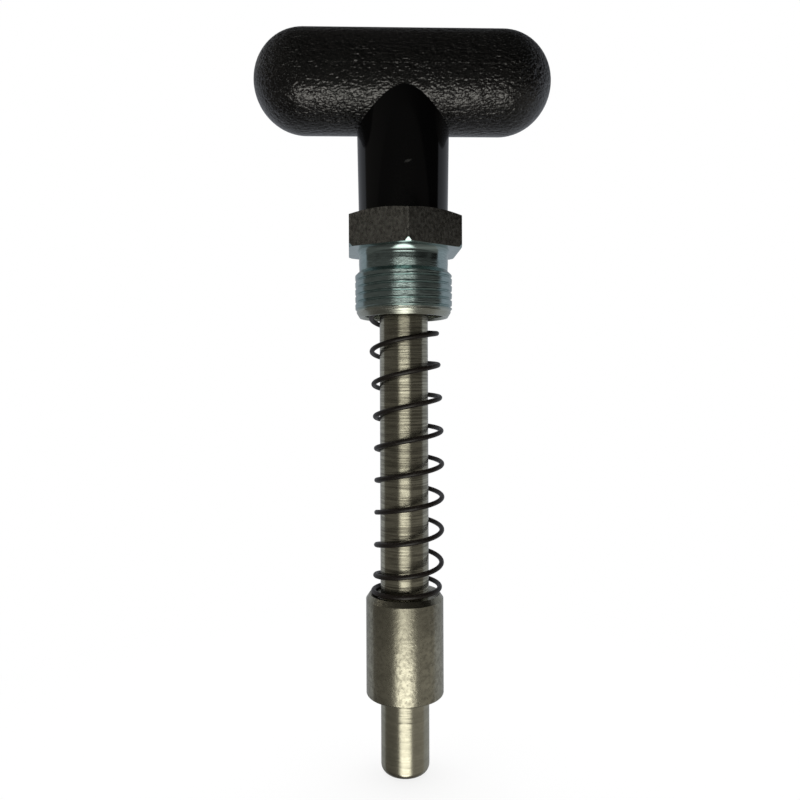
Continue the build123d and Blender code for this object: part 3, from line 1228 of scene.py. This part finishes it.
opens_at = size["Closed Turns"]
closes_at = maths(rule, "SUBTRACT", size["Turns"], size["Closed Turns"])
opened = maths(
    rule,
    "SUBTRACT",
    opened_by(maths(rule, "SUBTRACT", turn, opens_at)),
    opened_by(maths(rule, "SUBTRACT", turn, closes_at)),
)
wider = maths(rule, "SUBTRACT", size["Open Pitch"], size["Closed Pitch"])
height = maths(rule, "MULTIPLY_ADD", turn, size["Closed Pitch"], size["End Lift"])
height = maths(rule, "MULTIPLY_ADD", opened, wider, height)
print("nodes for the wire's height:", len(rule.nodes))

# %% [markdown]
# Second, the height gives the lean, from the table above. The slope of the bent line tips each
# coil, apart from the closed turns, which lie flat on the collar.


# %% The lean, and the place of each point
def lean_at(height_share):
    """How far the spring's own axis stands off the pin's, in metres."""
    rows = [(h / FREE_LENGTH, lean) for h, lean in LEAN]
    return by_table(rule, height_share, rows, LEAN_TOP, "AUTO", unit=MM)


# the slope of the bent line is measured over a fiftieth of its length
SLOPE_STEP = 0.02
# the coils' tip to the back, as a slope, and the shares of the length where it starts and is full
NOD_SLOPE, NOD_FROM, NOD_FULL = 0.05, 0.25, 0.7
# heights above the collar up to which the wire lies flat, and from which it is free to tip
FLAT_HEIGHT, FREE_HEIGHT = 1.0, 5.0
share = maths(rule, "DIVIDE", height, size["Free Length"])
lean = lean_at(share)
rise = maths(rule, "SUBTRACT", lean_at(maths(rule, "ADD", share, SLOPE_STEP)), lean)
slope = maths(rule, "DIVIDE", rise, maths(rule, "MULTIPLY", size["Free Length"], SLOPE_STEP))
angle = maths(rule, "MULTIPLY", maths(rule, "ADD", turn, size["First Turn"]), 2 * math.pi)
side = maths(rule, "MULTIPLY", maths(rule, "COSINE", angle), size["Coil Radius"])
depth = maths(rule, "MULTIPLY", maths(rule, "SINE", angle), size["Coil Radius"])
# the coils tip sideways with the bent line, and the upper ones also a little to the back
nod = add_node(
    rule,
    "ShaderNodeMapRange",
    {"Value": share, "From Min": NOD_FROM, "From Max": NOD_FULL, "To Max": NOD_SLOPE},
)["Result"]
tilt = maths(rule, "MULTIPLY_ADD", side, slope, maths(rule, "MULTIPLY", depth, nod))
free = add_node(
    rule,
    "ShaderNodeMapRange",
    {"Value": height, "From Min": FLAT_HEIGHT * MM, "From Max": FREE_HEIGHT * MM},
)["Result"]
tilt = maths(rule, "MULTIPLY", tilt, free)
place = add_node(
    rule,
    "ShaderNodeCombineXYZ",
    {
        "X": maths(rule, "ADD", side, lean),
        "Y": depth,
        "Z": maths(rule, "SUBTRACT", maths(rule, "ADD", height, size["Lower End"]), tilt),
    },
)["Vector"]
path = add_node(rule, "GeometryNodeSetPosition", {"Geometry": line["Curve"], "Position": place})
print("nodes for the wire's path:", len(rule.nodes))

# %% [markdown]
# Third, the wire's round section is swept along the path. Both ends of a real spring are ground
# flat, so that it stands square. Here the wire's points stop at the collar and at the chamber's
# floor, which leaves the same small flats.

# %% The wire round that path, and its ground ends
section = add_node(
    rule,
    "GeometryNodeCurvePrimitiveCircle",
    {"Resolution": size["Wire Sides"], "Radius": size["Wire Radius"]},
)
wire = add_node(
    rule,
    "GeometryNodeCurveToMesh",
    {"Curve": path["Geometry"], "Profile Curve": section["Curve"], "Fill Caps": True},
)
spot = add_node(
    rule, "ShaderNodeSeparateXYZ", {0: add_node(rule, "GeometryNodeInputPosition")["Position"]}
)
ground_z = maths(
    rule, "MINIMUM", maths(rule, "MAXIMUM", spot["Z"], size["Lower End"]), size["Upper End"]
)
ground = add_node(rule, "ShaderNodeCombineXYZ", {"X": spot["X"], "Y": spot["Y"], "Z": ground_z})
flat = add_node(
    rule, "GeometryNodeSetPosition", {"Geometry": wire["Mesh"], "Position": ground["Vector"]}
)
real = add_node(rule, "GeometryNodeRealizeInstances", {"Geometry": flat["Geometry"]})
dark = add_node(rule, "GeometryNodeSetMaterial", {"Geometry": real["Geometry"], "Material": WIRE})
add_node(rule, "NodeGroupOutput", {0: dark["Geometry"]})
spring_mesh = run_rule(rule, SPRING_SIZES)
spring_mesh.name = "coil_spring"
print("spring's open edges:", finish_mesh(spring_mesh, sharp_angle=40))

# %% [markdown]
# When the handle is pulled, the spring shortens between the collar and the bush. Its piece is
# attached to the spring's body in place of its solid, with a mesh of its own.

# %% Spring
coil_spring = add_object("coil_spring", spring_mesh)
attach(coil_spring, "spring")
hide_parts("spring")
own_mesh(coil_spring)

# %% [markdown]
# ## Handle
# The crossbar and the stem are one moulding, made here in two parts that a Boolean joins. The
# crossbar is a round bar with ball ends, spun about X. The thin ridge along it is where the two
# halves of its mould met. A bump would catch the light too, but the ridge is part of the mesh, so
# that it also shows in the bar's outline from above and from its ends.

# %% The crossbar, spun about X, with the ridge of the mould's parting line
CROSSBAR_RADIUS, CROSSBAR_LENGTH = 10.44, 61.3
BAR_SEGMENTS, BALL_STEPS = 96, 20
SEAM_DROP, SEAM_RIDGE, SEAM_STEP = 0.3, 0.045, 0.4
straight = CROSSBAR_LENGTH / 2 - CROSSBAR_RADIUS
ball = [(0, -CROSSBAR_LENGTH / 2)] + [
    (CROSSBAR_RADIUS * math.sin(a), -straight - CROSSBAR_RADIUS * math.cos(a))
    for a in (math.radians(90 * i / BALL_STEPS) for i in range(1, BALL_STEPS + 1))
]
bar_rows = ball + [(r, -x) for r, x in reversed(ball)]
seam_angle = math.degrees(math.asin(SEAM_DROP / CROSSBAR_RADIUS))
seams = (180 + seam_angle, 360 - seam_angle)
# the ridge needs its own narrow steps, so the even ones next to it make room
bar_angles = [360 * i / BAR_SEGMENTS for i in range(BAR_SEGMENTS)]
kept_clear = 3 * SEAM_STEP
bar_angles = [
    a for a in bar_angles if a > kept_clear and all(abs(a - s) > kept_clear for s in seams)
]
bar_angles += [s + step * SEAM_STEP for s in seams for step in (-2, -1, 0, 1, 2)]
bar_angles.sort()


def bar_ring(radius, x):
    """A ring of the crossbar at x, raised a little where an angle is on the parting line."""
    ring = []
    for degrees in bar_angles:
        raised = SEAM_RIDGE if any(abs(degrees - s) < 0.01 for s in seams) else 0
        r = radius + raised * radius / CROSSBAR_RADIUS
        a = math.radians(degrees)
        ring.append((x, r * math.cos(a), CROSSBAR_Z + r * math.sin(a)))
    return ring


crossbar = piece("crossbar", *skin([bar_ring(r, x) for r, x in bar_rows]), [GRAINED, SMOOTH], 30)

# %% [markdown]
# The stem is a post that narrows towards its foot, so that it can leave the lower half of its
# mould, and the foot's edge is rounded. It is one outline too, spun about Z, with the socket for
# the shaft's end and the pocket that holds the insert.

# %% The stem, spun about Z
FOOT_RADIUS, FOOT_ROUNDING, STEM_SEGMENTS = 9.2, 0.4, 120
DRAFT = math.tan(math.radians(1.0))
SOCKET_RADIUS, INSERT_RADIUS, INSERT_TOP_Z = 5.2, 6.0, 31.75
GROOVE_RADIUS, GROOVE_LOW_Z, GROOVE_HIGH_Z = 5.2, 23.25, 26.25
FOOT_Z = HEX_TOP_Z + FOOT_ROUNDING
# close rings above the rounded foot, so that its shading doesn't run up the side, then even ones
STEM_STEPS = (0.05, 0.1, *(2.4 * i for i in range(1, 12)))
stem_outline = [
    (0, INSERT_TOP_Z),
    (INSERT_RADIUS, INSERT_TOP_Z),
    (INSERT_RADIUS, GROOVE_HIGH_Z),
    (GROOVE_RADIUS, GROOVE_HIGH_Z),
    (GROOVE_RADIUS, GROOVE_LOW_Z),
    (INSERT_RADIUS, GROOVE_LOW_Z),
    (INSERT_RADIUS, SHOULDER_Z),
    (SOCKET_RADIUS, SHOULDER_Z),
    (SOCKET_RADIUS, HEX_TOP_Z),
    *arc((FOOT_RADIUS - FOOT_ROUNDING, FOOT_Z), FOOT_ROUNDING, -90, 0, 5),
    *((FOOT_RADIUS + (FOOT_Z + step - HEX_TOP_Z) * DRAFT, FOOT_Z + step) for step in STEM_STEPS),
    (0, CROSSBAR_Z),
]
stem = piece("stem", *lathe(stem_outline, STEM_SEGMENTS), [GRAINED, SMOOTH])
for face in stem.data.polygons:
    face.material_index = 1

# %% [markdown]
# The Boolean modifier joins the two, and the joined mesh is kept in place of both. It keeps each
# one's finish, grained on the bar and smooth on the stem, with the sharp line between them that the
# mould's two surfaces leave. The exact solver is chosen, because it leaves no open edges.

# %% The handle, the union of the two
union = crossbar.modifiers.new("union", "BOOLEAN")
union.operation, union.solver, union.object = "UNION", "EXACT", stem
depsgraph = bpy.context.evaluated_depsgraph_get()
handle_mesh = bpy.data.meshes.new_from_object(
    crossbar.evaluated_get(depsgraph), depsgraph=depsgraph
)
crossbar.modifiers.remove(union)
bpy.data.objects.remove(crossbar)
bpy.data.objects.remove(stem)
handle_mesh.name = "t_handle"
print("handle's open edges:", finish_mesh(handle_mesh, sharp_angle=20))
t_handle = add_object("t_handle", handle_mesh)
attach(t_handle, "pin")
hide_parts("handle")

# %% [markdown]
# ## Last steps
# The view settings keep colours as they are written.

# %% View settings
scene.view_settings.view_transform = "Standard"
